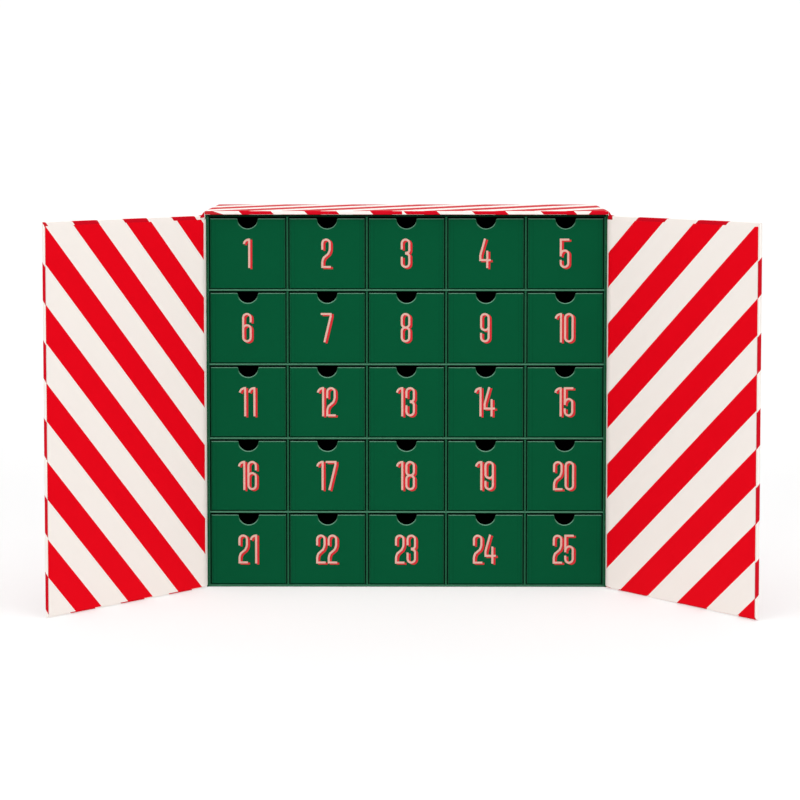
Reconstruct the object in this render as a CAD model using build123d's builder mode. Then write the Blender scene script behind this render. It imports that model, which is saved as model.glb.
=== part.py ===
from build123d import *
import math
import os

os.makedirs("parts", exist_ok=True)

# Beauty advent calendar: a wrapped board case with two doors and twenty-five numbered drawers.
# X runs to the right, Y to the back and Z up. The origin is the middle of the case's footprint.

# Grid of drawers
column_count = 5
row_count = 5
cell_width = 69.2
cell_height = 64.9

# Green carcass: outer boards, and the crossing boards of the grid
grid_board = 1.8
wall_board = 1.4
floor_board = 2.0
ceiling_board = 2.0
rear_board = 1.8
slot_play = 0.1
board_edge_round = 0.8
upright_edge_chamfer = 0.6
wall_edge_round = 0.5

# Outer case, whose top stands out as a lip over the closed doors
case_depth = 150.0
side_board = 2.0
back_board = 2.0
top_board = 3.4
lip_overhang = 4.0
case_edge_round = 0.8

# Drawers: open trays of wrapped board with a half-round thumb notch
drawer_side_gap = 0.9
drawer_top_gap = 1.65
drawer_floor_gap = 0.15
drawer_front_recess = 0.8
drawer_rear_gap = 1.7
drawer_front_board = 1.5
drawer_tray_board = 1.2
drawer_front_chamfer = 0.8
notch_radius = 9.0
notch_corner_round = 1.2

# Doors, each hung on a paper fold at the case's front edge
door_board = 2.8
door_edge_round = 0.7
door_to_carcass_gap = 0.9
door_to_floor_gap = 0.8
door_to_lip_gap = 0.8
doors_meeting_gap = 1.0
hinge_line_offset = 0.3
hinge_gap = 7.0
left_door_angle = 133.8
right_door_angle = 130.2

# Paper on the doors: the liner sheet, and the two layers that fold at the hinge
paper = 0.4
paper_layer_gap = 0.1
liner_top_margin = 3.4
liner_bottom_margin = 1.2
left_liner_free_margin = 1.3
right_liner_free_margin = 2.3
liner_hinge_margin = 1.0
fold_straight = 0.2

# Depth that a cut runs past the face it opens
overrun = 1.0

# Places that follow from the sizes above
column_pitch = cell_width + grid_board
row_pitch = cell_height + grid_board
inner_width = column_count * column_pitch - grid_board
inner_height = row_count * row_pitch - grid_board
carcass_width = inner_width + 2 * wall_board
carcass_height = floor_board + inner_height + ceiling_board
case_width = carcass_width + 2 * side_board
case_height = carcass_height + top_board
front_y = -case_depth / 2
back_y = case_depth / 2
case_back_y = back_y - back_board
grid_back_y = case_back_y - rear_board
grid_depth = grid_back_y - front_y
grid_mid_y = (front_y + grid_back_y) / 2
ceiling_z = floor_board + inner_height
hinge_y = front_y - door_to_carcass_gap - door_board
hinge_x = case_width / 2 + hinge_line_offset
door_low_z = door_to_floor_gap
door_high_z = carcass_height - door_to_lip_gap
door_reach = hinge_x - doors_meeting_gap / 2
liner_low_z = door_low_z + liner_bottom_margin
liner_high_z = door_high_z - liner_top_margin
drawer_width = cell_width - 2 * drawer_side_gap
drawer_height = cell_height - drawer_floor_gap - drawer_top_gap
drawer_front_y = front_y + drawer_front_recess
drawer_back_y = grid_back_y - drawer_rear_gap

LEFT = -1
RIGHT = 1


def save(piece, name):
    """Labels a finished piece and writes it under its own name."""
    piece.part.label = name
    export_step(piece.part, f"parts/{name}.step")


def flat_board(x_span, y_span, z_span):
    """A plain board between two places on each axis."""
    with BuildPart() as piece:
        with BuildSketch(Plane.XY.offset(z_span[0])):
            with Locations((sum(x_span) / 2, sum(y_span) / 2)):
                Rectangle(x_span[1] - x_span[0], y_span[1] - y_span[0])
        extrude(amount=z_span[1] - z_span[0])
    return piece


def rounded_front(board, along, radius):
    """Rounds a board's two front edges, where the green paper wraps round it."""
    with board:
        fillet(board.edges().filter_by(along).group_by(Axis.Y)[0], radius)
    return board


# Carcass floor, ceiling, walls and back: they close the box that holds the grid
half_carcass = carcass_width / 2
half_inner = inner_width / 2
full_x = (-half_carcass, half_carcass)
grid_y = (front_y, grid_back_y)

carcass_floor = flat_board(full_x, grid_y, (0, floor_board))
rounded_front(carcass_floor, Axis.X, board_edge_round)
save(carcass_floor, "carcass_floor")

carcass_ceiling = flat_board(full_x, grid_y, (ceiling_z, carcass_height))
rounded_front(carcass_ceiling, Axis.X, board_edge_round)
save(carcass_ceiling, "carcass_ceiling")

carcass_left_wall = flat_board((-half_carcass, -half_inner), grid_y, (floor_board, ceiling_z))
rounded_front(carcass_left_wall, Axis.Z, wall_edge_round)
save(carcass_left_wall, "carcass_left_wall")

carcass_right_wall = flat_board((half_inner, half_carcass), grid_y, (floor_board, ceiling_z))
rounded_front(carcass_right_wall, Axis.Z, wall_edge_round)
save(carcass_right_wall, "carcass_right_wall")

carcass_back = flat_board(full_x, (grid_back_y, case_back_y), (0, carcass_height))
save(carcass_back, "carcass_back")


# Grid: full-width shelves slotted from the back, full-height dividers slotted from the front.
# Each slot reaches the middle of the depth, so the boards cross flush with each other.
slot_width = grid_board + 2 * slot_play
slot_length = grid_depth / 2 + slot_play + overrun


def shelf(number):
    """One shelf across the whole carcass, counted from the top."""
    low_z = floor_board + (row_count - number) * row_pitch - grid_board
    with BuildPart() as piece:
        with BuildSketch(Plane.XY.offset(low_z)):
            with Locations((0, grid_mid_y)):
                Rectangle(inner_width, grid_depth)
            with Locations((0, grid_back_y + overrun - slot_length / 2)):
                with GridLocations(column_pitch, row_pitch, column_count - 1, 1):
                    Rectangle(slot_width, slot_length, mode=Mode.SUBTRACT)
        extrude(amount=grid_board)
    return rounded_front(piece, Axis.X, board_edge_round)


def divider(number):
    """One upright board from floor to ceiling, counted from the left."""
    low_x = number * column_pitch - grid_board - half_inner
    with BuildPart() as piece:
        with BuildSketch(Plane.YZ.offset(low_x)):
            with Locations((grid_mid_y, floor_board + inner_height / 2)):
                Rectangle(grid_depth, inner_height)
            with Locations((front_y - overrun + slot_length / 2, floor_board + inner_height / 2)):
                with GridLocations(column_pitch, row_pitch, 1, row_count - 1):
                    Rectangle(slot_length, slot_width, mode=Mode.SUBTRACT)
        extrude(amount=grid_board)
        chamfer(piece.edges().filter_by(Axis.Z).group_by(Axis.Y)[0], upright_edge_chamfer)
    return piece


for number in range(1, row_count):
    save(shelf(number), f"shelf_{number}")

for number in range(1, column_count):
    save(divider(number), f"divider_{number}")


# Outer case: sides, back and the overhanging top
half_case = case_width / 2

case_left_side = flat_board((-half_case, -half_carcass), (front_y, case_back_y), (0, carcass_height))
save(case_left_side, "case_left_side")

case_right_side = flat_board((half_carcass, half_case), (front_y, case_back_y), (0, carcass_height))
save(case_right_side, "case_right_side")

case_back = flat_board((-half_case, half_case), (case_back_y, back_y), (0, carcass_height))
with case_back:
    fillet(case_back.edges().filter_by(Axis.Z).group_by(Axis.Y)[-1], case_edge_round)
save(case_back, "case_back")

case_top = flat_board(
    (-half_case, half_case), (front_y - lip_overhang, back_y), (carcass_height, case_height)
)
with case_top:
    fillet(case_top.edges().filter_by(Axis.Z), case_edge_round)
    fillet(case_top.faces().sort_by(Axis.Z)[-1].edges(), case_edge_round)
    fillet(case_top.faces().sort_by(Axis.Y)[0].edges().group_by(Axis.Z)[0], case_edge_round)
save(case_top, "case_top")


def drawer(column, row):
    """An open tray, with its front board thicker than its walls and a thumb notch in its top edge."""
    mid_x = (column - (column_count - 1) / 2) * column_pitch
    low_z = floor_board + (row_count - 1 - row) * row_pitch + drawer_floor_gap
    high_z = low_z + drawer_height
    cavity_front_y = drawer_front_y + drawer_front_board
    cavity_back_y = drawer_back_y - drawer_tray_board
    with BuildPart() as piece:
        with BuildSketch(Plane.XY.offset(low_z)):
            with Locations((mid_x, (drawer_front_y + drawer_back_y) / 2)):
                Rectangle(drawer_width, drawer_back_y - drawer_front_y)
        extrude(amount=drawer_height)
        with BuildSketch(Plane.XY.offset(low_z + drawer_tray_board)):
            with Locations((mid_x, (cavity_front_y + cavity_back_y) / 2)):
                Rectangle(drawer_width - 2 * drawer_tray_board, cavity_back_y - cavity_front_y)
        extrude(amount=drawer_height, mode=Mode.SUBTRACT)
        front_face = Plane((mid_x, drawer_front_y, high_z), x_dir=(1, 0, 0), z_dir=(0, -1, 0))
        with BuildSketch(front_face.offset(overrun)):
            Circle(notch_radius)
        extrude(amount=-(drawer_front_board + 2 * overrun), mode=Mode.SUBTRACT)
        notch_corners = piece.edges().filter_by(Axis.Y).group_by(Axis.Z)[-1]
        notch_corners = notch_corners.filter_by_position(
            Axis.X, mid_x - notch_radius - overrun, mid_x + notch_radius + overrun
        )
        fillet(notch_corners, notch_corner_round)
        chamfer(piece.faces().sort_by(Axis.Y)[0].edges(), drawer_front_chamfer)
    return piece


for row in range(row_count):
    for column in range(column_count):
        save(drawer(column, row), f"drawer_{row * column_count + column + 1:02d}")


# Doors: everything on a door is drawn in plan from its hinge line, outwards along the door
# and inwards from its outer face, and then stood up.
def hinge_frame(side, angle, height):
    """The level plane with its origin on a door's hinge line and its X running out along the door."""
    turn = math.radians(180 * (side == RIGHT) + side * angle)
    along = (math.cos(turn), math.sin(turn), 0)
    return Plane((side * hinge_x, hinge_y, height), x_dir=along, z_dir=(0, 0, 1))


def door_panel(side, angle, along_span, inward_span, z_span):
    """A flat piece of a door, placed by its distances along the door and inwards from its outer face."""
    with BuildPart() as piece:
        with BuildSketch(hinge_frame(side, angle, z_span[0])):
            with Locations((sum(along_span) / 2, -side * sum(inward_span) / 2)):
                Rectangle(along_span[1] - along_span[0], inward_span[1] - inward_span[0])
        extrude(amount=z_span[1] - z_span[0])
    return piece


def door(side, angle):
    """The door's board, wrapped and soft at every edge but the square one by the hinge."""
    board = door_panel(
        side, angle, (hinge_gap, door_reach), (0, door_board), (door_low_z, door_high_z)
    )
    along_door = Axis(hinge_frame(side, angle, door_low_z).origin, hinge_frame(side, angle, 0).x_dir)
    with board:
        hinge_face = board.faces().sort_by(along_door)[0]
        soft_edges = board.edges() - hinge_face.edges()
        fillet(soft_edges, door_edge_round)
    return board


def door_liner(side, angle, free_margin):
    """The printed sheet glued inside the door, which leaves a border of the wrap's turned-in edge."""
    return door_panel(
        side,
        angle,
        (hinge_gap + liner_hinge_margin, door_reach - free_margin),
        (door_board, door_board + paper),
        (liner_low_z, liner_high_z),
    )


def hinge_fold(side, angle, case_x, along, inward, straight, z_span):
    """A paper layer that leaves the case's front edge straight ahead and bends to run along the door."""
    frame = hinge_frame(side, angle, z_span[0])
    on_case = Vector(side * case_x, front_y, z_span[0])
    on_door = frame.from_local_coords(Vector(along, -side * inward, 0))
    run = (on_case.X - on_door.X) / -frame.x_dir.X
    corner = on_door - frame.x_dir * run
    case_leg = (on_case - corner).length
    radius = (min(run, case_leg) - straight) / math.tan(math.radians(angle - 90) / 2)
    with BuildPart() as piece:
        with BuildSketch(Plane.XY.offset(z_span[0])):
            with BuildLine():
                FilletPolyline(on_case, corner, on_door, radius=radius)
            trace(line_width=paper)
        extrude(amount=z_span[1] - z_span[0])
    return piece


for side, angle, free_margin, side_name in (
    (LEFT, left_door_angle, left_liner_free_margin, "left"),
    (RIGHT, right_door_angle, right_liner_free_margin, "right"),
):
    save(door(side, angle), f"{side_name}_door")
    save(door_liner(side, angle, free_margin), f"{side_name}_door_liner")
    outer_x = half_case - paper / 2
    wrap = hinge_fold(
        side, angle, outer_x, hinge_gap, paper / 2, fold_straight, (door_low_z, door_high_z)
    )
    save(wrap, f"{side_name}_hinge_wrap")
    inner_x = outer_x - paper - paper_layer_gap
    liner_along = hinge_gap + liner_hinge_margin
    liner_inward = door_board + paper / 2
    inner_fold = hinge_fold(
        side,
        angle,
        inner_x,
        liner_along,
        liner_inward,
        liner_hinge_margin + fold_straight,
        (liner_low_z, liner_high_z),
    )
    save(inner_fold, f"{side_name}_hinge_liner")
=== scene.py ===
import math

import bpy
from mathutils import Matrix, Vector


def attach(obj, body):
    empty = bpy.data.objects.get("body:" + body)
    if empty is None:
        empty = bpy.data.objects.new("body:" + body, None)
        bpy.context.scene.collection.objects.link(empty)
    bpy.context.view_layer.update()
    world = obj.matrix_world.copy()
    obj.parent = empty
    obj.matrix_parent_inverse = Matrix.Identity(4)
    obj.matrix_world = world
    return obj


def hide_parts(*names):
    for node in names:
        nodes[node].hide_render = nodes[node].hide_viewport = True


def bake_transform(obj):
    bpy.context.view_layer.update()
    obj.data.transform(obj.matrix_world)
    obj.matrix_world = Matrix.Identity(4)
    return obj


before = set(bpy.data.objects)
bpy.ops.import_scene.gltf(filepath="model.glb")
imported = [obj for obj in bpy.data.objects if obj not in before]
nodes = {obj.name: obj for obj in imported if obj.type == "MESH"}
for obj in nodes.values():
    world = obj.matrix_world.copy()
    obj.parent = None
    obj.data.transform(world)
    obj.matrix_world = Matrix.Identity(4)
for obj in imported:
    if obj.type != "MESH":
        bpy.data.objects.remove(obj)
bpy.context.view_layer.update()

# Sizes of the part, in metres and degrees
column_count = 5
row_count = 5
cell_width = 0.0692
cell_height = 0.0649
grid_board = 0.0018
wall_board = 0.0014
floor_board = 0.0020
ceiling_board = 0.0020
rear_board = 0.0018
case_depth = 0.1500
side_board = 0.0020
back_board = 0.0020
top_board = 0.0034
drawer_side_gap = 0.0009
drawer_top_gap = 0.00165
drawer_floor_gap = 0.00015
drawer_front_recess = 0.0008
drawer_rear_gap = 0.0017
drawer_front_board = 0.0015
drawer_tray_board = 0.0012
door_board = 0.0028
door_to_carcass_gap = 0.0009
door_to_floor_gap = 0.0008
door_to_lip_gap = 0.0008
doors_meeting_gap = 0.0010
hinge_line_offset = 0.0003
hinge_gap = 0.0070
left_door_angle = 133.8
right_door_angle = 130.2
paper = 0.0004
paper_layer_gap = 0.0001
liner_top_margin = 0.0034
liner_bottom_margin = 0.0012
left_liner_free_margin = 0.0013
right_liner_free_margin = 0.0023
liner_hinge_margin = 0.0010
fold_straight = 0.0002

# Places that follow from the sizes above
column_pitch = cell_width + grid_board
row_pitch = cell_height + grid_board
inner_width = column_count * column_pitch - grid_board
inner_height = row_count * row_pitch - grid_board
carcass_height = floor_board + inner_height + ceiling_board
ceiling_z = carcass_height - ceiling_board
case_width = inner_width + 2 * wall_board + 2 * side_board
case_height = carcass_height + top_board
half_case = case_width / 2
front_y = -case_depth / 2
back_y = case_depth / 2
grid_back_y = back_y - back_board - rear_board
hinge_y = front_y - door_to_carcass_gap - door_board
hinge_x = half_case + hinge_line_offset
door_low_z = door_to_floor_gap
door_high_z = carcass_height - door_to_lip_gap
door_reach = hinge_x - doors_meeting_gap / 2
liner_low_z = door_low_z + liner_bottom_margin
liner_high_z = door_high_z - liner_top_margin
drawer_width = cell_width - 2 * drawer_side_gap
drawer_height = cell_height - drawer_floor_gap - drawer_top_gap
drawer_front_y = front_y + drawer_front_recess
drawer_back_y = grid_back_y - drawer_rear_gap

LEFT = -1
RIGHT = 1
side_names = {LEFT: "left", RIGHT: "right"}
door_angles = {LEFT: left_door_angle, RIGHT: right_door_angle}
liner_free_margins = {LEFT: left_liner_free_margin, RIGHT: right_liner_free_margin}

# Stripes. Each set has its pitch along the sheet, its pitch up the sheet and its phase: a point is red where
# along / pitch_along + up / pitch_up + phase has a fraction near red_middle. A red share is the red part of
# a period, and the whole periods only keep the sum above zero.
red_share = 0.489
top_red_share = 0.60
red_middle = 0.75
whole_periods = 100.0
edge_blur = 0.0025
edge_stray = 0.004
edge_stray_size = 0.0012
liner_stripes = {LEFT: (-0.05724, 0.06613, 0.0957), RIGHT: (-0.06945, 0.06315, 0.2499)}
wrap_stripes = {LEFT: (0.0547, 0.0654, 0.089), RIGHT: (0.0711, 0.0633, 0.618)}
lip_stripes = {LEFT: (0.0585, 0.060, 0.415), RIGHT: (0.0610, 0.060, 0.904)}
top_stripes = (0.0635, -0.079, 0.21)

# Inks and papers, as linear colours
red_ink = (0.800, 0.0010, 0.0095)
red_ink_deep = (0.700, 0.0005, 0.0065)
wrap_red = (0.620, 0.0040, 0.0150)
wrap_red_deep = (0.540, 0.0020, 0.0110)
cream_paper = (0.895, 0.845, 0.800)
cream_paper_warm = (0.870, 0.815, 0.765)
# Brown for dark seams and for painted shade
seam_and_shade_brown = (0.20, 0.08, 0.07)
green_paper = (0.0008, 0.0860, 0.0320)
green_paper_deep = (0.0005, 0.0700, 0.0260)
# Pale green of the painted highlight, partly wear, on upward-facing front edges
green_highlight_and_wear = (0.1300, 0.3100, 0.2100)
green_shade = (0.0002, 0.0080, 0.0035)
green_ghost = (0.0004, 0.034, 0.013)
inner_green = (0.0012, 0.0200, 0.0100)
inner_green_deep = (0.0008, 0.014, 0.007)
numeral_cream = (0.700, 0.425, 0.355)
numeral_cream_deep = (0.640, 0.370, 0.305)
numeral_red = (0.630, 0.0170, 0.0240)
numeral_red_deep = (0.560, 0.010, 0.020)

# How far clouds and grain, and on the drawers a weave, take a paper towards its deeper tone
red_mottle_shares = (0.5, 0.35)
cream_mottle_shares = (0.6, 0.3)
board_mottle_shares = (0.5, 0.4)
drawer_mottle_shares = (0.4, 0.35, 0.2)
plain_mottle_shares = (0.5, 0.5)

# How finely clouds and grain break up, as levels of detail and the strength of the finer ones. They all vary
# about one middle.
noise_middle = 0.5
cloud_detail = (3.0, 0.6)
grain_detail = (2.0, 0.7)
patch_detail = (3.0, 0.5)
smooth_detail = (1.0, 0.5)
plain_cloud_detail = (4.0, 0.6)
plain_grain_detail = (3.0, 0.7)

# Roughness of each surface, as its least value and what its clouds add
print_roughness = (0.46, 0.14)
board_roughness = (0.42, 0.12)
drawer_roughness = (0.40, 0.12)
cloud_roughness = 0.15
paper_specular = 0.03

# Relief of paper over board: fine fibres, and the swell of board that isn't quite flat
fibre_size = 0.0005
fibre_height = 0.000006
swell_size = 0.045
swell_height = 0.00006
ink_height = 0.000004


class Field:
    """A number that a material works out at each point of a surface."""

    def __init__(self, paint, socket):
        self.paint = paint
        self.socket = socket

    def combine(self, operation, *others):
        node = self.paint.add("ShaderNodeMath")
        node.operation = operation
        for slot, value in zip(node.inputs, (self, *others)):
            self.paint.feed(slot, value)
        return Field(self.paint, node.outputs[0])

    def __add__(self, other):
        return self.combine("ADD", other)

    def __sub__(self, other):
        return self.combine("SUBTRACT", other)

    def __mul__(self, other):
        return self.combine("MULTIPLY", other)

    def __truediv__(self, other):
        return self.combine("DIVIDE", other)

    __radd__ = __add__

    def __rsub__(self, other):
        return -self + other

    def __neg__(self):
        return self * -1

    def __abs__(self):
        return self.combine("ABSOLUTE")

    def fraction(self):
        return self.combine("FRACT")

    def above(self, level):
        return self.combine("GREATER_THAN", level)

    def below(self, level):
        return self.combine("LESS_THAN", level)

    def least(self, other):
        return self.combine("MINIMUM", other)

    def most(self, other):
        return self.combine("MAXIMUM", other)

    def rise(self, low, high):
        """Goes smoothly from 0 at low to 1 at high."""
        node = self.paint.add("ShaderNodeMapRange")
        node.interpolation_type = "SMOOTHSTEP"
        self.paint.feed(node.inputs["Value"], self)
        node.inputs["From Min"].default_value = low
        node.inputs["From Max"].default_value = high
        return Field(self.paint, node.outputs["Result"])

    def fall(self, low, high):
        """Goes smoothly from 1 at low to 0 at high."""
        return 1 - self.rise(low, high)


class Paint:
    """One material and the nodes it is made of."""

    # A mix node names its number, vector and colour sockets alike, so the colour ones are found by place
    first_colour_slot = 6
    second_colour_slot = 7
    colour_result = 2

    def __init__(self, name, roughness=0.5, specular=paper_specular):
        self.material = bpy.data.materials.new(name)
        self.material.use_nodes = True
        self.tree = self.material.node_tree
        self.tree.nodes.clear()
        self.shader = self.add("ShaderNodeBsdfPrincipled")
        output = self.add("ShaderNodeOutputMaterial")
        self.link(self.shader.outputs["BSDF"], output.inputs["Surface"])
        self.shader.inputs["Roughness"].default_value = roughness
        self.shader.inputs["Specular IOR Level"].default_value = specular
        self.object_node = self.add("ShaderNodeTexCoord")

    def add(self, kind):
        return self.tree.nodes.new(kind)

    def link(self, output, slot):
        self.tree.links.new(output, slot)

    def feed(self, slot, value):
        if isinstance(value, Field):
            self.link(value.socket, slot)
        elif isinstance(value, bpy.types.NodeSocket):
            self.link(value, slot)
        elif isinstance(value, tuple):
            slot.default_value = (*value, 1.0)
        else:
            slot.default_value = value

    def split(self, socket):
        node = self.add("ShaderNodeSeparateXYZ")
        self.link(socket, node.inputs[0])
        return tuple(Field(self, output) for output in node.outputs)

    def point(self):
        """The place on the object, as a socket."""
        return self.object_node.outputs["Object"]

    def place(self):
        """The place on the object, as three numbers."""
        return self.split(self.point())

    def facing(self):
        """The direction that the surface faces, in the object's own frame."""
        return self.split(self.object_node.outputs["Normal"])

    def sheet(self):
        """The place on the flat sheet, for pieces that have been folded from one."""
        node = self.add("ShaderNodeUVMap")
        node.uv_map = "Sheet"
        across, up, _ = self.split(node.outputs["UV"])
        return across, up

    def noise(self, size, detail=2.0, roughness=0.5, stretch=None):
        """Cloudy variation from 0 to 1, with clouds of about the given size in metres."""
        node = self.add("ShaderNodeTexNoise")
        node.inputs["Scale"].default_value = 1.0 / size
        node.inputs["Detail"].default_value = detail
        node.inputs["Roughness"].default_value = roughness
        spot = self.point()
        if stretch is not None:
            scale = self.add("ShaderNodeVectorMath")
            scale.operation = "MULTIPLY"
            self.link(spot, scale.inputs[0])
            scale.inputs[1].default_value = stretch
            spot = scale.outputs[0]
        self.link(spot, node.inputs["Vector"])
        return Field(self, node.outputs[0])

    def blend(self, share, first, second):
        """first where share is 0, second where it is 1."""
        node = self.add("ShaderNodeMix")
        node.data_type = "RGBA"
        self.feed(node.inputs[0], share)
        self.feed(node.inputs[self.first_colour_slot], first)
        self.feed(node.inputs[self.second_colour_slot], second)
        return node.outputs[self.colour_result]

    def mottle(self, light, deep, shares, *fields):
        """A colour between two tones, by the shares of clouds and grain."""
        amount = sum(field * share for field, share in zip(fields, shares))
        return self.blend(amount, light, deep)

    def colour(self, socket):
        self.link(socket, self.shader.inputs["Base Color"])

    def roughness(self, clouds, least, added):
        self.link((clouds * added + least).socket, self.shader.inputs["Roughness"])

    def relief(self, height):
        """Surface relief, with its height in metres."""
        node = self.add("ShaderNodeBump")
        node.inputs["Strength"].default_value = 1.0
        node.inputs["Distance"].default_value = 1.0
        self.link(height.socket, node.inputs["Height"])
        self.link(node.outputs["Normal"], self.shader.inputs["Normal"])


def paper_relief(paint, fibres=fibre_height, swell=swell_height):
    """Fine paper fibres on board that isn't quite flat."""
    fine = paint.noise(fibre_size, *cloud_detail) * fibres
    return fine + paint.noise(swell_size, *smooth_detail) * swell


def stripe_mask(paint, along, up, stripes, share=red_share):
    """1 on a red stripe and 0 on the cream between, with the slight unevenness of a printed edge."""
    pitch_along, pitch_up, phase = stripes
    count = along / pitch_along + up / pitch_up + (phase + whole_periods)
    stray = (paint.noise(edge_stray_size) - noise_middle) * edge_stray
    distance = abs((count + stray).fraction() - red_middle)
    return distance.fall(share / 2 - edge_blur, share / 2 + edge_blur)


print_cloud_size = 0.030
print_grain_size = 0.00045
print_sheen_size = 0.012


def print_stripes(paint, mask, reds=(wrap_red, wrap_red_deep), shade=None, green=None):
    """Red and cream inks with mottling, rubbed lightly, over paper relief, taken towards brown where a shade
    is given.
    """
    cloud = paint.noise(print_cloud_size, *cloud_detail)
    grain = paint.noise(print_grain_size, *grain_detail)
    red = paint.mottle(*reds, red_mottle_shares, cloud, grain)
    cream = paint.mottle(cream_paper, cream_paper_warm, cream_mottle_shares, cloud, grain)
    colour = paint.blend(mask, cream, red)
    if shade is not None:
        colour = paint.blend(shade, colour, seam_and_shade_brown)
    if green is not None:
        colour = paint.blend(green, colour, paint.blend(cloud, green_paper, green_paper_deep))
    paint.colour(colour)
    paint.roughness(paint.noise(print_sheen_size), *print_roughness)
    paint.relief(paper_relief(paint) + mask * ink_height)


def door_directions(side):
    """Unit directions in plan: out along an open door, and inwards from its outer face."""
    turn = math.pi * (side == RIGHT) + side * math.radians(door_angles[side])
    out = Vector((math.cos(turn), math.sin(turn)))
    return out, Vector((side * out.y, -side * out.x))


def door_place(paint, side):
    """Distances on a door: out from its hinge line, inwards from its outer face, and up."""
    x, y, z = paint.place()
    out, inwards = door_directions(side)
    from_x = x - side * hinge_x
    from_y = y - hinge_y
    along = from_x * out.x + from_y * out.y
    inward = from_x * inwards.x + from_y * inwards.y
    return along, inward, z


# Liners: a thin line of painted shade along the cut edge at a door's free end
cut_edge = 0.0003
cut_edge_solid = 0.0001
cut_edge_shade = 0.30


def liner_material(side):
    paint = Paint(f"{side_names[side]}_liner_print")
    along, _, up = door_place(paint, side)
    mask = stripe_mask(paint, along, up, liner_stripes[side])
    past_cut = along - (door_reach - liner_free_margins[side])
    # A thin painted shade along the liner's cut edge
    painted_cut_shade = past_cut.rise(-cut_edge, -cut_edge_solid)
    print_stripes(paint, mask, (red_ink, red_ink_deep), painted_cut_shade * cut_edge_shade)
    return paint.material


# Doors: how level an edge faces, how near a point is to the inner face, and the mitred seams of the wrap.
# The lower turned-in border lies this far out of step with the stripes.
edge_level = 0.7
face_nearness = 0.00012
mitre_seam = (0.00004, 0.00016)
mitre_shade = 0.55
low_edge_slip = {LEFT: 0.0070, RIGHT: -0.0200}


def door_wrap_material(side):
    """The wrap is one sheet: it goes round the edges and back over the border of the inner face."""
    paint = Paint(f"{side_names[side]}_door_wrap")
    along, inward, up = door_place(paint, side)
    _, _, level = paint.facing()
    inner = inward.above(door_board - face_nearness)
    near_top = door_high_z - up
    near_free = door_reach - along
    near_low = up - door_low_z
    top_border = near_top.below(near_free) * inner
    low_border = near_low.below(near_free) * inner
    over_top = level.above(edge_level).most(top_border)
    over_low = (-level).above(edge_level).most(low_border)
    over_free = 1 - over_top.most(over_low)
    sheet_along = along + over_free * (inward + inner * near_free * 2)
    sheet_up = up + over_top * (inward + top_border * near_top * 2)
    sheet_up = sheet_up - over_low * (inward + low_border * near_low * 2 - low_edge_slip[side])
    mask = stripe_mask(paint, sheet_along, sheet_up, wrap_stripes[side])
    mitre = abs(near_top.least(near_low) - near_free)
    seam = mitre.fall(*mitre_seam) * inner
    print_stripes(paint, mask, shade=seam * mitre_shade)
    return paint.material


# Where a face of the case turns to the front it is green
green_turn = (0.5, 0.6)


def case_wrap_material(name, sheet_of, side):
    """Outer faces of the case, whose stripes go on from the door round the hinge."""
    paint = Paint(name)
    x, y, z = paint.place()
    along = sheet_of(x, y)
    mask = stripe_mask(paint, along, z, wrap_stripes[side])
    _, toward, _ = paint.facing()
    print_stripes(paint, mask, green=(-toward).rise(*green_turn))
    return paint.material


crease_ragged_size = 0.004
crease_ragged = 0.0006
crease_blur = 0.0002


def sheet_material(name, stripes, reds=(wrap_red, wrap_red_deep), pale_below=None):
    """Striped paper for a piece folded from a flat sheet, rubbed pale where it is creased."""
    paint = Paint(name)
    along, up = paint.sheet()
    mask = stripe_mask(paint, along, up, stripes)
    if pale_below is not None:
        ragged = (paint.noise(crease_ragged_size, *patch_detail) - noise_middle) * crease_ragged
        mask = mask * (along + ragged).rise(pale_below - crease_blur, pale_below + crease_blur)
    print_stripes(paint, mask, reds)
    return paint.material


# Top sheet: its edges, the seam of the two lip flaps, and the tucks at the lip's corners. Each tuck has the
# distance from the middle where it starts at the top edge, and how much it widens on the way down.
edge_nearness = 0.0004
lip_seam_x = -0.0040
lip_seam = (0.00005, 0.0003)
lip_seam_shade = 0.5
lip_turn = (0.60, 0.66)
left_tuck_start = 0.1735
left_tuck_slope = 3.2
# The left tuck is darkened with painted shade
left_tuck_shade = 0.20
right_tuck_start = 0.165
right_tuck_slope = 0.9
top_specular = 0.02


def top_material():
    """The top's own sheet, and two flaps on the front lip that meet near the middle, tucked in at the ends.

    The back and the sides continue the top's stripes where its sheet is turned down.
    """
    paint = Paint("case_top_wrap", specular=top_specular)
    x, y, z = paint.place()
    _, toward, _ = paint.facing()
    below = case_height - z
    over_side = (abs(x) - (half_case - edge_nearness)).above(0.0) * below
    over_back = (y - (back_y - edge_nearness)).above(0.0) * below
    outward = x.above(0.0) * 2 - 1
    top_mask = stripe_mask(paint, x + over_side * outward, y + over_back, top_stripes, top_red_share)
    left_mask = stripe_mask(paint, x, z, lip_stripes[LEFT])
    right_mask = stripe_mask(paint, x, z, lip_stripes[RIGHT])
    on_right = x.above(lip_seam_x)
    left_tuck = (below * left_tuck_slope - x - left_tuck_start).above(0.0)
    right_tuck = (below * right_tuck_slope + x - right_tuck_start).above(0.0)
    lip_mask = left_mask * (1 - on_right) + right_mask * on_right
    lip_mask = lip_mask.most(left_tuck.most(right_tuck))
    on_lip = (-toward).rise(*lip_turn)
    mask = top_mask * (1 - on_lip) + lip_mask * on_lip
    seam = abs(x - lip_seam_x).fall(*lip_seam) * on_lip
    # The lip's seam is darkened as a joint, and the left tuck with painted shade
    print_stripes(paint, mask, shade=seam * lip_seam_shade + left_tuck * on_lip * left_tuck_shade)
    return paint.material


# Boards of the carcass: where a front nose starts and ends, which way its parts with painted highlight and
# painted shade face, and how the highlight, partly wear, varies in patches
board_cloud_size = 0.020
board_grain_size = 0.0004
nose_depth = (0.0003, 0.0010)
nose_lit_facing = (-0.75, -0.1)
nose_shade_facing = (0.6, 0.95)
nose_shade_share = 0.8
wear_and_highlight_size = 0.006
wear_and_highlight_least = 0.7
wear_and_highlight_added = 0.5
height_nearness = 0.0001


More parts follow.
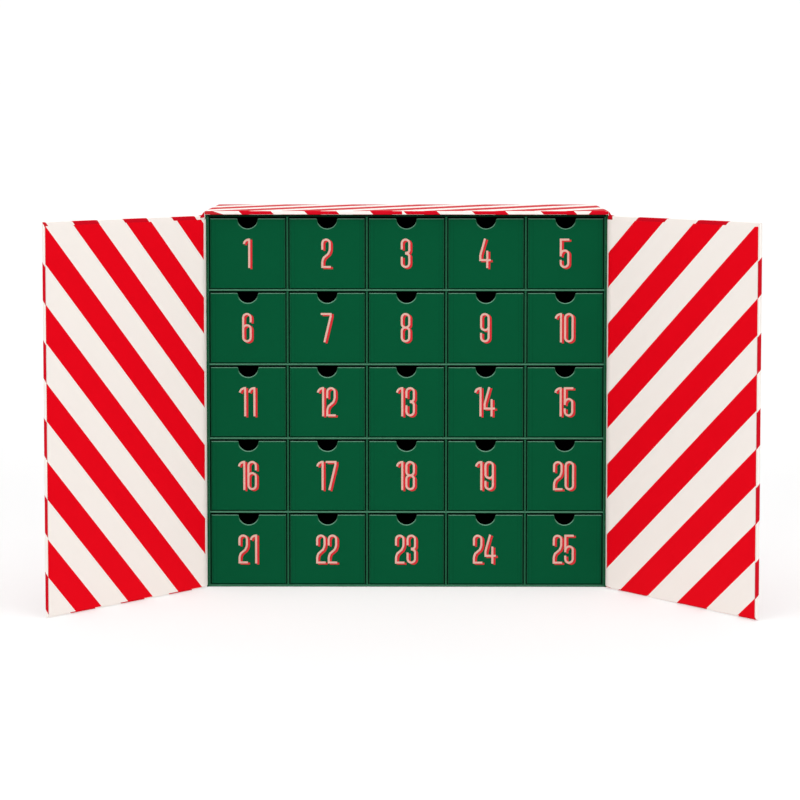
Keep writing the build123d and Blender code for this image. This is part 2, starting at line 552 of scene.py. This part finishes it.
def green_board_material(name, highlight_and_wear_share):
    """Green paper wrapped over board, with a painted highlight, partly wear, on the upward faces of its nose,
    painted shade on the downward ones, and a painted shadow on the ceiling's nose under the lip.
    """
    paint = Paint(name)
    _, y, z = paint.place()
    _, _, up = paint.facing()
    cloud = paint.noise(board_cloud_size, *cloud_detail)
    grain = paint.noise(board_grain_size, *grain_detail)
    body = paint.mottle(green_paper, green_paper_deep, board_mottle_shares, cloud, grain)
    under_lip_shadow = z.above(ceiling_z - height_nearness)
    at_nose = y.fall(*(front_y + depth for depth in nose_depth)) * (1 - under_lip_shadow)
    wear_and_highlight_patches = paint.noise(wear_and_highlight_size, *patch_detail) * wear_and_highlight_added + wear_and_highlight_least
    # Painted highlight, partly wear, on the upward faces of the nose
    lit = at_nose * up.rise(*nose_lit_facing) * wear_and_highlight_patches * highlight_and_wear_share
    colour = paint.blend(lit, body, green_highlight_and_wear)
    # Painted shadow on the ceiling's nose, which lies in the lip's shadow
    colour = paint.blend(under_lip_shadow * nose_shade_share, colour, green_shade)
    # Painted shade on the downward faces of the nose
    nose_painted_shade = at_nose * (-up).rise(*nose_shade_facing)
    paint.colour(paint.blend(nose_painted_shade * nose_shade_share, colour, green_shade))
    paint.roughness(cloud, *board_roughness)
    paint.relief(paper_relief(paint))
    return paint.material


# Drawers: the depths behind the front face where its edges start and end, which way the parts of an edge
# face, and how far in from a drawer's side the tray's wall and the wrap's turned-in end tell through
drawer_cloud_size = 0.025
drawer_grain_size = 0.00035
drawer_weave_size = 0.0011
drawer_weave_stretch = (1.0, 1.0, 4.0)
edge_start = (0.00004, 0.0002)
edge_finish = (0.0012, 0.0014)
face_finish = (0.00003, 0.00020)
rim_facing = (0.15, 0.5)
rim_patch_size = 0.005
sill_facing = (0.3, 0.6)
sill_shade = 0.9
upright_facing = (0.1, 0.3)
upright_highlight_share = 0.10
wall_line_inset = 0.0016
wall_line_blur = (0.0001, 0.0004)
turn_line_inset = 0.0046
turn_line_blur = (0.0001, 0.0006)
turn_line_share = 0.6
ghost_share = 0.35
ghost_depth = 0.00003
drawer_fibre_height = 0.000005
drawer_swell_height = 0.00005


def drawer_material():
    """Green paper on the drawers: painted highlight, partly wear, and painted shade on the front edges, and
    the tray's walls telling through the front.
    """
    paint = Paint("drawer_wrap")
    x, y, _ = paint.place()
    _, _, up = paint.facing()
    depth = y - drawer_front_y
    across = ((x + (inner_width + grid_board) / 2) / column_pitch).fraction() * column_pitch
    from_side = drawer_width / 2 - abs(across - column_pitch / 2)
    cloud = paint.noise(drawer_cloud_size, *cloud_detail)
    grain = paint.noise(drawer_grain_size, *grain_detail)
    weave = paint.noise(drawer_weave_size, stretch=drawer_weave_stretch)
    body = paint.mottle(green_paper, green_paper_deep, drawer_mottle_shares, cloud, grain, weave)
    on_edge = depth.rise(*edge_start) * depth.fall(*edge_finish)
    # Painted highlight, partly wear, on the upward front edges and the notch's rim
    rim = on_edge * up.rise(*rim_facing)
    patch = paint.noise(rim_patch_size, *patch_detail) * wear_and_highlight_added + wear_and_highlight_least
    colour = paint.blend(rim * patch, body, green_highlight_and_wear)
    # Painted shade on the downward-facing front edges
    sill = on_edge * (-up).rise(*sill_facing)
    colour = paint.blend(sill * sill_shade, colour, green_shade)
    # A faint painted highlight on the upright front edges
    upright = on_edge * abs(up).fall(*upright_facing)
    colour = paint.blend(upright * upright_highlight_share, colour, green_highlight_and_wear)
    wall_line = abs(from_side - wall_line_inset).fall(*wall_line_blur)
    turn_line = abs(from_side - turn_line_inset).fall(*turn_line_blur)
    ghost = (wall_line + turn_line * turn_line_share) * depth.fall(*face_finish)
    paint.colour(paint.blend(ghost * ghost_share, colour, green_ghost))
    paint.roughness(cloud, *drawer_roughness)
    paint.relief(paper_relief(paint, drawer_fibre_height, drawer_swell_height) - ghost * ghost_depth)
    return paint.material


plain_cloud_size = 0.015
plain_grain_size = 0.0004
plain_fibre_height = 0.00001
plain_swell_height = 0.00003


def plain_material(name, tones, roughness, specular, fibres=plain_fibre_height, cloud_size=plain_cloud_size):
    """A plain paper or board, or an ink, with fibres and slight clouding between two tones."""
    paint = Paint(name, specular=specular)
    cloud = paint.noise(cloud_size, *plain_cloud_detail)
    grain = paint.noise(plain_grain_size, *plain_grain_detail)
    paint.colour(paint.mottle(*tones, plain_mottle_shares, cloud, grain))
    paint.roughness(cloud, roughness, cloud_roughness)
    paint.relief(paper_relief(paint, fibres, plain_swell_height))
    return paint.material


def new_piece(name, points, faces, material, body=None, sheet=None, smooth=False):
    """A mesh piece in the shared frame, with its places on the flat sheet where it has one."""
    mesh = bpy.data.meshes.new(name)
    mesh.from_pydata([tuple(p) for p in points], [], faces)
    if sheet is not None:
        layer = mesh.uv_layers.new(name="Sheet")
        for loop in mesh.loops:
            layer.data[loop.index].uv = sheet[loop.vertex_index]
    if smooth:
        mesh.polygons.foreach_set("use_smooth", [True] * len(mesh.polygons))
    mesh.materials.append(material)
    mesh.update()
    piece = bpy.data.objects.new(name, mesh)
    bpy.context.scene.collection.objects.link(piece)
    if body is not None:
        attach(piece, body)
    return piece


def grid_faces(columns, rows):
    """Faces of a grid of points numbered row by row."""
    return [
        (j * columns + i, j * columns + i + 1, (j + 1) * columns + i + 1, (j + 1) * columns + i)
        for j in range(rows - 1)
        for i in range(columns - 1)
    ]


def thin_sheet(name, front, back, columns, sheet, material, body=None):
    """A closed thin sheet between two grids of points, given row by row."""
    rows = len(front) // columns
    count = len(front)
    faces = grid_faces(columns, rows)
    faces += [tuple(count + i for i in reversed(face)) for face in faces]
    rim = list(range(columns))
    rim += [j * columns + columns - 1 for j in range(1, rows)]
    rim += [(rows - 1) * columns + i for i in range(columns - 2, -1, -1)]
    rim += [j * columns for j in range(rows - 2, 0, -1)]
    faces += [(b, a, a + count, b + count) for a, b in zip(rim, rim[1:] + rim[:1])]
    return new_piece(name, front + back, faces, material, body, sheet + sheet)


def repaint(node, material):
    """Gives a solid of the part its material."""
    piece = nodes[node]
    piece.data.materials.clear()
    piece.data.materials.append(material)


# Camera: a long lens about two metres in front of the case, looking slightly down over its top edge
camera_data = bpy.data.cameras.new("camera")
camera_data.sensor_width = 36.0
camera_data.lens = 105.0016
camera_data.shift_y = -0.175
camera_data.clip_start = 0.05
camera_data.clip_end = 60.0
camera = bpy.data.objects.new("camera", camera_data)
bpy.context.scene.collection.objects.link(camera)
camera_forward = Vector((-0.00422, 0.99809, -0.06156))
camera.location = (0.00296, -2.15516, 0.42333)
camera.rotation_euler = camera_forward.to_track_quat("-Z", "Y").to_euler()
bpy.context.scene.camera = camera

# Carcass, whose shelves get the most painted highlight, partly wear, at their noses and whose uprights the
# least
shelf_highlight_and_wear = 0.52
floor_highlight_and_wear = 0.32
upright_highlight_and_wear = 0.12
shelf_green = green_board_material("carcass_paper", shelf_highlight_and_wear)
floor_green = green_board_material("carcass_floor_paper", floor_highlight_and_wear)
upright_green = green_board_material("divider_paper", upright_highlight_and_wear)
repaint("carcass_floor", floor_green)
repaint("carcass_ceiling", shelf_green)
for number in range(1, row_count):
    repaint(f"shelf_{number}", shelf_green)
for node in ("carcass_left_wall", "carcass_right_wall", "carcass_back"):
    repaint(node, upright_green)
for number in range(1, column_count):
    repaint(f"divider_{number}", upright_green)


# Case
def side_sheet(x, y):
    """How far along the outer wrap a point on a side of the case is, from the hinge line."""
    return hinge_y - y


def back_sheet(x, y):
    """The same on the back, which follows the left side."""
    return (hinge_y - back_y - half_case) - x


repaint("case_left_side", case_wrap_material("case_left_wrap", side_sheet, LEFT))
repaint("case_right_side", case_wrap_material("case_right_wrap", side_sheet, RIGHT))
repaint("case_back", case_wrap_material("case_back_wrap", back_sheet, LEFT))
repaint("case_top", top_material())

# Drawers
drawer_paper = drawer_material()
drawer_numbers = range(1, column_count * row_count + 1)
for number in drawer_numbers:
    repaint(f"drawer_{number:02d}", drawer_paper)

# Doors and their liners
for side in (LEFT, RIGHT):
    repaint(f"{side_names[side]}_door", door_wrap_material(side))
    repaint(f"{side_names[side]}_door_liner", liner_material(side))

# Hinge papers: they run straight out of the case's front edge and fold round to the door. The crinkle's waves
# are in radians, per metre up and over the whole run across.
fold_steps = 14
fold_rows = 40
fold_paper = 0.00034
right_angle = 90
crinkle_height = 0.00006
crinkle_waves_up = 190
crinkle_waves_across = 5
crease_reach = {LEFT: 0.0006, RIGHT: -0.0002}


def fold_path(side, case_x, along, inward, straight):
    """Points along a paper layer in plan, from the case to the door."""
    out, inwards = door_directions(side)
    on_case = Vector((side * case_x, front_y))
    on_door = Vector((side * hinge_x, hinge_y)) + out * along + inwards * inward
    corner = on_door - out * ((on_case.x - on_door.x) / -out.x)
    to_case = (on_case - corner).normalized()
    leg = min((on_case - corner).length, (on_door - corner).length) - straight
    half_turn = math.radians(door_angles[side] - right_angle) / 2
    radius = leg / math.tan(half_turn)
    middle = corner + (to_case + out).normalized() * (radius / math.cos(half_turn))
    first = corner + to_case * leg - middle
    last = corner + out * leg - middle
    swing = math.atan2(first.x * last.y - first.y * last.x, first.dot(last))
    turns = [Matrix.Rotation(swing * step / fold_steps, 2) for step in range(fold_steps + 1)]
    return [on_case] + [middle + turn @ first for turn in turns] + [on_door]


def across_path(path, before, after):
    """The direction square to a path between two of its points."""
    run = (path[after] - path[before]).normalized()
    return Vector((-run.y, run.x))


def bend_at_hinge(piece):
    """Bakes a paper's place into its mesh, which stays where it was built."""
    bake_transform(piece)


def crease_share(path, lengths, side):
    """The share of a paper's run, from the case, that is creased and rubbed pale."""
    edge_x = half_case + crease_reach[side]
    past = next(k for k, spot in enumerate(path) if side * spot.x > edge_x)
    near, far = side * path[past - 1].x, side * path[past].x
    part = (edge_x - near) / (far - near)
    return (lengths[past - 1] + part * (lengths[past] - lengths[past - 1])) / lengths[-1]


def hinge_paper(name, side, case_x, along, inward, straight, low_z, high_z, stripes, replaced, pale=False):
    """One paper layer of a hinge, slightly crinkled, with its stripes running on from the door."""
    path = fold_path(side, case_x, along, inward, straight)
    lengths = [0.0]
    for a, b in zip(path, path[1:]):
        lengths.append(lengths[-1] + (b - a).length)
    case_along = hinge_y - front_y
    front, back, sheet = [], [], []
    for row in range(fold_rows + 1):
        level = low_z + (high_z - low_z) * row / fold_rows
        for index, spot in enumerate(path):
            normal = across_path(path, max(index - 1, 0), min(index + 1, len(path) - 1))
            share = lengths[index] / lengths[-1]
            wave = math.sin(level * crinkle_waves_up + share * crinkle_waves_across)
            crinkle = crinkle_height * math.sin(math.pi * share) * wave
            front.append((*(spot + normal * (crinkle + fold_paper / 2)), level))
            back.append((*(spot + normal * (crinkle - fold_paper / 2)), level))
            sheet.append((case_along + (along - case_along) * share, level))
    if pale:
        pale_below = case_along + (along - case_along) * crease_share(path, lengths, side)
        print_on = sheet_material(name + "_print", stripes, (red_ink, red_ink_deep), pale_below)
    else:
        print_on = sheet_material(name + "_print", stripes)
    piece = thin_sheet(name, front, back, len(path), sheet, print_on)
    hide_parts(replaced)
    bend_at_hinge(piece)


# Hinge tabs: how far they reach below and above the door's top edge, and how that changes out along the fold
tab_paper = 0.00060
tab_start = 0.0003
tab_rows = 4
tab_low = 0.0016
tab_low_drop = 0.0004
tab_high = 0.0031
tab_high_curve = 0.8
tab_end_height = 0.0001
tab_roughness = 0.46


def hinge_tab(side, case_x):
    """The red end of the wrap that stands up beside the lip and slopes down to the door's top edge."""
    path = fold_path(side, case_x, hinge_gap, paper / 2, fold_straight)
    outside = [k for k, spot in enumerate(path) if side * spot.x > half_case + tab_start]
    front, back, sheet = [], [], []
    for row in range(tab_rows + 1):
        level = row / tab_rows
        for k in outside:
            normal = across_path(path, k - 1, k)
            share = (k - outside[0]) / (len(outside) - 1)
            low = door_high_z - tab_low - tab_low_drop * share
            high = door_high_z + tab_high * (1 - share) ** tab_high_curve + tab_end_height
            z = low + (high - low) * level
            front.append((*(path[k] + normal * (tab_paper / 2)), z))
            back.append((*(path[k] - normal * (tab_paper / 2)), z))
            sheet.append((share, level))
    piece = thin_sheet(side_names[side] + "_hinge_tab", front, back, len(outside), sheet, red_paper)
    bend_at_hinge(piece)


red_paper = plain_material("turned_in_red", (wrap_red, wrap_red_deep), tab_roughness, paper_specular)
outer_x = half_case - paper / 2
inner_x = outer_x - paper - paper_layer_gap
for side in (LEFT, RIGHT):
    side_name = side_names[side]
    hinge_tab(side, outer_x)
    hinge_paper(
        f"{side_name}_hinge_outer_paper", side, outer_x, hinge_gap, paper / 2, fold_straight,
        door_low_z, door_high_z, wrap_stripes[side], f"{side_name}_hinge_wrap",
    )
    hinge_paper(
        f"{side_name}_hinge_inner_paper", side, inner_x, hinge_gap + liner_hinge_margin,
        door_board + paper / 2, liner_hinge_margin + fold_straight,
        liner_low_z, liner_high_z, liner_stripes[side], f"{side_name}_hinge_liner", pale=True,
    )

# Numerals: cream strokes over a red copy that is set off to the right and down. The places where the flag of
# the one and the bowls of the five, six and nine end are angles on their curves, in degrees.
stroke_width = 0.0018
stroke_end = stroke_width / 2
numeral_reach = 0.0067
numeral_rise = 0.0245
numeral_bowl = numeral_reach / 2
one_reach = 0.0046
one_flag = 0.0040
one_flag_end = 92
bowl_start = 172
four_reach = 0.0084
seven_reach = 0.0079
waist_rise = 0.0032
eight_waist_rise = 0.0031
five_inset = 0.0002
shadow_right = 0.0018
shadow_down = 0.0010
digit_gap = 0.0019
ink_layer = 0.00003
stroke_layer = 0.00001
bend_steps = 10
least_step = 0.00005
least_mitre = 0.35

# Points of the digits, as shares of a digit's width and height
two_waist_shares = [(1.0, 0.653), (0.940, 0.576), (0.791, 0.482)]
two_foot_shares = [(0.179, 0.335), (0.045, 0.245), (0.0, 0.171), (0.0, 0.0)]
two_start_share = 0.633
three_upper_shares = [(1.0, 0.604), (0.925, 0.551), (0.761, 0.522), (0.45, 0.514)]
three_lower_shares = [(0.45, 0.490), (0.761, 0.482), (0.925, 0.453), (1.0, 0.400)]
three_end_shares = (0.641, 0.371)
four_left_shares = [(0.048, 0.490), (0.0, 0.408), (0.0, 0.253)]
four_top_share = 0.5
four_stem_shares = (0.74, 0.596)
five_stem_share = 0.388
five_shoulder_share = 0.473
five_end_share = 0.261
six_bowl_share = 0.457
six_start_share = 0.690
seven_corner_share = 0.910
seven_foot_share = 0.29
eight_upper_share = 0.633
eight_lower_share = 0.380


def bend(middle_x, middle_z, reach, rise, first, last):
    """Points on part of an ellipse, by angles in degrees."""
    turns = [math.radians(first + (last - first) * k / bend_steps) for k in range(bend_steps + 1)]
    return [(middle_x + reach * math.cos(t), middle_z + rise * math.sin(t)) for t in turns]


def digit_strokes(digit):
    """The width of a digit between its outer centre lines, and its strokes as (closed, points)."""
    w = {1: one_reach, 4: four_reach, 7: seven_reach}.get(digit, numeral_reach)
    h, r, e = numeral_rise, numeral_bowl, stroke_end
    over_top = bend(r, h - r, r, r, 180, 0)
    under_foot = bend(r, r, r, r, 0, -180)

    def spots(shares):
        return [(w * across, h * up) for across, up in shares]

    if digit == 0:
        strokes = [(True, over_top + under_foot)]
    elif digit == 1:
        flag = bend(w, h - one_flag, w, one_flag, 180, one_flag_end)
        strokes = [(False, flag), (False, [(w, h + e), (w, -e)])]
    elif digit == 2:
        start = [(0.0, h * two_start_share)]
        foot = spots(two_foot_shares) + [(w + e, 0.0)]
        strokes = [(False, start + over_top + spots(two_waist_shares) + foot)]
    elif digit == 3:
        first_share, last_share = three_end_shares
        upper = [(0.0, h * first_share)] + over_top + spots(three_upper_shares)
        lower = spots(three_lower_shares) + under_foot + [(0.0, h * last_share)]
        strokes = [(False, upper), (False, lower)]
    elif digit == 4:
        left = spots(four_left_shares)
        stem_share, stem_top_share = four_stem_shares
        arm = [(w * four_top_share, h + e)] + left + [(w + e, left[-1][1])]
        strokes = [(False, arm), (False, [(w * stem_share, h * stem_top_share), (w * stem_share, -e)])]
    elif digit == 5:
        roof = [(w + e, h), (0.0, h), (0.0, h * five_stem_share)]
        shoulder = bend(r + five_inset, h * five_shoulder_share, r - five_inset, waist_rise, bowl_start, 0)
        strokes = [(False, roof), (False, shoulder + under_foot + [(0.0, h * five_end_share)])]
    elif digit == 6:
        hook = [(w, h * six_start_share)] + over_top[::-1] + under_foot[::-1]
        bowl = [(w, r)] + bend(r, h * six_bowl_share, r, waist_rise, 0, bowl_start)
        strokes = [(False, hook), (False, bowl)]
    elif digit == 7:
        strokes = [(False, [(-e, h), (w, h), (w, h * seven_corner_share), (w * seven_foot_share, -e)])]
    elif digit == 8:
        upper = over_top + bend(r, h * eight_upper_share, r, eight_waist_rise, 0, -180)
        lower = bend(r, h * eight_lower_share, r, eight_waist_rise, 180, 0) + under_foot
        strokes = [(True, upper), (True, lower)]
    else:
        upright = digit_strokes(6)[1]
        strokes = [(closed, [(w - x, h - z) for x, z in points]) for closed, points in upright]
    return w, strokes


def ribbon(points, closed, left, low, front, back, corners, faces):
    """Adds a stroke of even width along a line, mitred at its corners, between two depths."""
    line = [Vector(p) for p in points]
    line = [p for k, p in enumerate(line) if k == 0 or (p - line[k - 1]).length > least_step]
    if closed and (line[0] - line[-1]).length < least_step:
        line.pop()
    count = len(line)
    sides = []
    for k, spot in enumerate(line):
        ahead = line[(k + 1) % count] if closed or k < count - 1 else None
        behind = line[k - 1] if closed or k > 0 else None
        first = (spot - behind).normalized() if behind is not None else (ahead - spot).normalized()
        second = (ahead - spot).normalized() if ahead is not None else first
        mitre = Vector((-(first.y + second.y), first.x + second.x)).normalized()
        across = Vector((-first.y, first.x))
        reach = stroke_end / max(mitre.dot(across), least_mitre)
        sides.append((spot + mitre * reach, spot - mitre * reach))
    base = len(corners)
    for depth in (front, back):
        for pair in sides:
            corners.extend((left + corner.x, depth, low + corner.y) for corner in pair)
    layer = 2 * count
    last = count if closed else count - 1
    for k in range(last):
        a, b = base + 2 * k, base + 2 * ((k + 1) % count)
        faces.append((a, b, b + 1, a + 1))
        faces.append((a + layer, a + 1 + layer, b + 1 + layer, b + layer))
        faces.append((b, a, a + layer, b + layer))
        faces.append((a + 1, b + 1, b + 1 + layer, a + 1 + layer))
    if not closed:
        for a in (base, base + 2 * (count - 1)):
            faces.append((a, a + 1, a + 1 + layer, a + layer))


def numeral(number, mid_x, mid_z):
    """The inks of one drawer's number, red first and then cream."""
    digits = [digit_strokes(int(character)) for character in str(number)]
    cream_width = sum(width + stroke_width for width, _ in digits) + digit_gap * (len(digits) - 1)
    left = mid_x - (cream_width + shadow_right) / 2 + stroke_end
    low = mid_z - (numeral_rise + stroke_width - shadow_down) / 2 + stroke_end
    corners, faces, inks = [], [], []
    for width, strokes in digits:
        for level, (closed, points) in enumerate(strokes):
            lift = drawer_front_y - level * stroke_layer
            red = (left + shadow_right, low - shadow_down, lift - ink_layer)
            cream = (left, low, lift - 2 * ink_layer)
            for ink, (x, z, front) in enumerate((red, cream)):
                ribbon(points, closed, x, z, front, drawer_front_y, corners, faces)
                inks += [ink] * (len(faces) - len(inks))
        left += width + stroke_width + digit_gap
    piece = new_piece(f"numeral_{number:02d}", corners, faces, red_print, f"drawer_{number:02d}")
    piece.data.materials.append(cream_print)
    piece.data.polygons.foreach_set("material_index", inks)


ink_look = {"roughness": 0.42, "specular": 0.2, "fibres": 0.000004, "cloud_size": 0.006}
red_print = plain_material("numeral_red_ink", (numeral_red, numeral_red_deep), **ink_look)
cream_print = plain_material("numeral_cream_ink", (numeral_cream, numeral_cream_deep), **ink_look)

# Lining of each tray, below the wrap that is turned in over the rim
lining_sheet = 0.00015
lining_margin = 0.0120
lining_look = {"roughness": 0.6, "specular": 0.08, "fibres": 0.000008, "cloud_size": 0.02}


def drawer_middle(number):
    """The middle of a drawer from side to side, and the height that it stands at."""
    row, column = divmod(number - 1, column_count)
    mid_x = (column - (column_count - 1) / 2) * column_pitch
    low_z = floor_board + (row_count - 1 - row) * row_pitch + drawer_floor_gap
    return mid_x, low_z


def lining_mesh():
    """An open box of thin paper that lies against the inside of a tray."""
    half = drawer_width / 2 - drawer_tray_board
    near = drawer_front_y + drawer_front_board
    far = drawer_back_y - drawer_tray_board
    top = drawer_height - lining_margin
    t = lining_sheet
    outer = [(-half, near), (half, near), (half, far), (-half, far)]
    inner = [(-half + t, near + t), (half - t, near + t), (half - t, far - t), (-half + t, far - t)]
    points = [(*p, drawer_tray_board) for p in outer] + [(*p, top) for p in outer]
    points += [(*p, top) for p in inner] + [(*p, drawer_tray_board + t) for p in inner]
    corners = len(outer)
    ring = [(k, (k + 1) % corners) for k in range(corners)]
    faces = [(0, 3, 2, 1), (12, 13, 14, 15)]
    for low in (0, corners, 2 * corners):
        faces += [(low + k, low + n, low + n + corners, low + k + corners) for k, n in ring]
    mesh = bpy.data.meshes.new("tray_lining")
    mesh.from_pydata(points, [], faces)
    mesh.materials.append(plain_material("tray_lining_paper", (inner_green, inner_green_deep), **lining_look))
    mesh.update()
    return mesh


def tray_lining(number, mesh, mid_x, low_z):
    piece = bpy.data.objects.new(f"tray_lining_{number:02d}", mesh)
    piece.location = (mid_x, 0.0, low_z)
    bpy.context.scene.collection.objects.link(piece)
    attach(piece, f"drawer_{number:02d}")


shared_lining = lining_mesh()
for number in drawer_numbers:
    mid_x, low_z = drawer_middle(number)
    numeral(number, mid_x, low_z + drawer_height / 2)
    tray_lining(number, shared_lining, mid_x, low_z)

# The top's sheet turned down over the sides and the back, which hides where the top board sits
turn_down = 0.0125
turned_paper = 0.00012
turn_round = 0.0009
turn_above_joint = 0.001
turn_below_joint = 0.004
side_front_inset = 0.0015
side_back_inset = 0.0020
side_steps = 8
back_inset = 0.0012
back_steps = 12
turned_print = sheet_material("turned_edge_print", top_stripes)


def evenly(first, last, steps):
    return [first + (last - first) * k / steps for k in range(steps + 1)]


def turned_edge(name, line, outward):
    """A strip of the top's paper, down a face of the case from just under its rounded edge."""
    levels = [
        case_height - turn_round,
        carcass_height + turn_above_joint,
        carcass_height - turn_below_joint,
        case_height - turn_down,
    ]
    out_x, out_y = outward
    front, back, sheet = [], [], []
    for level in levels:
        below = case_height - level
        for x, y in line:
            front.append((x + out_x * turned_paper, y + out_y * turned_paper, level))
            back.append((x, y, level))
            sheet.append((x + out_x * below, y + out_y * below))
    piece = thin_sheet(name, front, back, len(line), sheet, turned_print, "case")


side_places = evenly(front_y + side_front_inset, back_y - side_back_inset, side_steps)
turned_edge("top_turned_edge_left", [(-half_case, y) for y in side_places], (-1, 0))
turned_edge("top_turned_edge_right", [(half_case, y) for y in side_places], (1, 0))
back_places = evenly(back_inset - half_case, half_case - back_inset, back_steps)
turned_edge("top_turned_edge_back", [(x, back_y) for x in back_places], (0, 1))

# Where the right side's paper laps over the back
lap = 0.0140
lap_paper = 0.0001
lap_inset = 0.0009
lap_foot = 0.0008
lap_gap = 0.0004
lap_steps = 4


def back_lap():
    front, back, sheet = [], [], []
    for level in (lap_foot, carcass_height / 2, case_height - turn_down - lap_gap):
        for x in evenly(half_case - lap_inset, half_case - lap_inset - lap, lap_steps):
            front.append((x, back_y + lap_paper, level))
            back.append((x, back_y, level))
            sheet.append((hinge_y - back_y - (half_case - x), level))
    print_on = sheet_material("back_lap_print", wrap_stripes[RIGHT])
    piece = thin_sheet("back_lap", front, back, lap_steps + 1, sheet, print_on, "case")


back_lap()

# Studio: a pale sweep that curves up into a wall and glows a little more towards it
sweep_near = -3.4
sweep_middle = -1.0
sweep_bend_start = 1.3
sweep_bend = 1.2
sweep_top = 4.2
sweep_steps = range(6, 91, 6)
sweep_places = (-4.0, -1.3, 1.3, 4.0)
sweep_pale = (0.55, 0.55, 0.549)
sweep_grey = (0.54, 0.54, 0.54)
sweep_cloud_size = 0.6
sweep_glow = 0.415
wall_glow = 0.12
wall_glow_depths = (0.2, 1.5)


def studio_sweep():
    turns = [math.radians(degrees) for degrees in sweep_steps]
    wall_y = sweep_bend_start + sweep_bend
    profile = [(y, 0.0) for y in (sweep_near, sweep_middle, sweep_bend_start)]
    profile += [(sweep_bend_start + sweep_bend * math.sin(t), sweep_bend * (1 - math.cos(t))) for t in turns]
    profile += [(wall_y, 2 * sweep_bend), (wall_y, sweep_top)]
    points = [(x, y, z) for y, z in profile for x in sweep_places]
    paint = Paint("sweep", roughness=0.9, specular=0.1)
    paint.colour(paint.blend(paint.noise(sweep_cloud_size), sweep_pale, sweep_grey))
    paint.shader.inputs["Emission Color"].default_value = (1.0, 1.0, 1.0, 1.0)
    _, depth, _ = paint.place()
    glow = depth.rise(*wall_glow_depths) * wall_glow + sweep_glow
    paint.link(glow.socket, paint.shader.inputs["Emission Strength"])
    faces = grid_faces(len(sweep_places), len(profile))
    new_piece("studio_sweep", points, faces, paint.material, smooth=True)


studio_sweep()


# Lights: a broad one overhead and two soft fills, with sizes in metres and power in watts
def softbox(name, spot, aim, wide, high, power):
    light = bpy.data.lights.new(name, "AREA")
    light.shape = "RECTANGLE"
    light.size = wide
    light.size_y = high
    light.energy = power
    lamp = bpy.data.objects.new(name, light)
    lamp.location = spot
    lamp.rotation_euler = (Vector(aim) - Vector(spot)).to_track_quat("-Z", "Y").to_euler()
    bpy.context.scene.collection.objects.link(lamp)


overhead_spot = (0.0, -0.75, 2.3)
overhead_aim = (0.0, -0.05, 0.0)
left_fill_spot = (-2.0, -2.2, 1.1)
right_fill_spot = (2.0, -2.2, 1.1)
fill_aim = (0.0, 0.0, 0.15)
softbox("overhead_light", overhead_spot, overhead_aim, wide=2.6, high=2.0, power=37.0)
softbox("left_fill", left_fill_spot, fill_aim, wide=1.6, high=1.6, power=18.2)
softbox("right_fill", right_fill_spot, fill_aim, wide=1.6, high=1.6, power=19.4)

world = bpy.data.worlds.new("studio_air")
world.use_nodes = True
world.node_tree.nodes["Background"].inputs["Color"].default_value = (1.0, 1.0, 1.0, 1.0)
world.node_tree.nodes["Background"].inputs["Strength"].default_value = 0.45
bpy.context.scene.world = world
bpy.context.scene.view_settings.view_transform = "Standard"
bpy.context.scene.view_settings.look = "None"
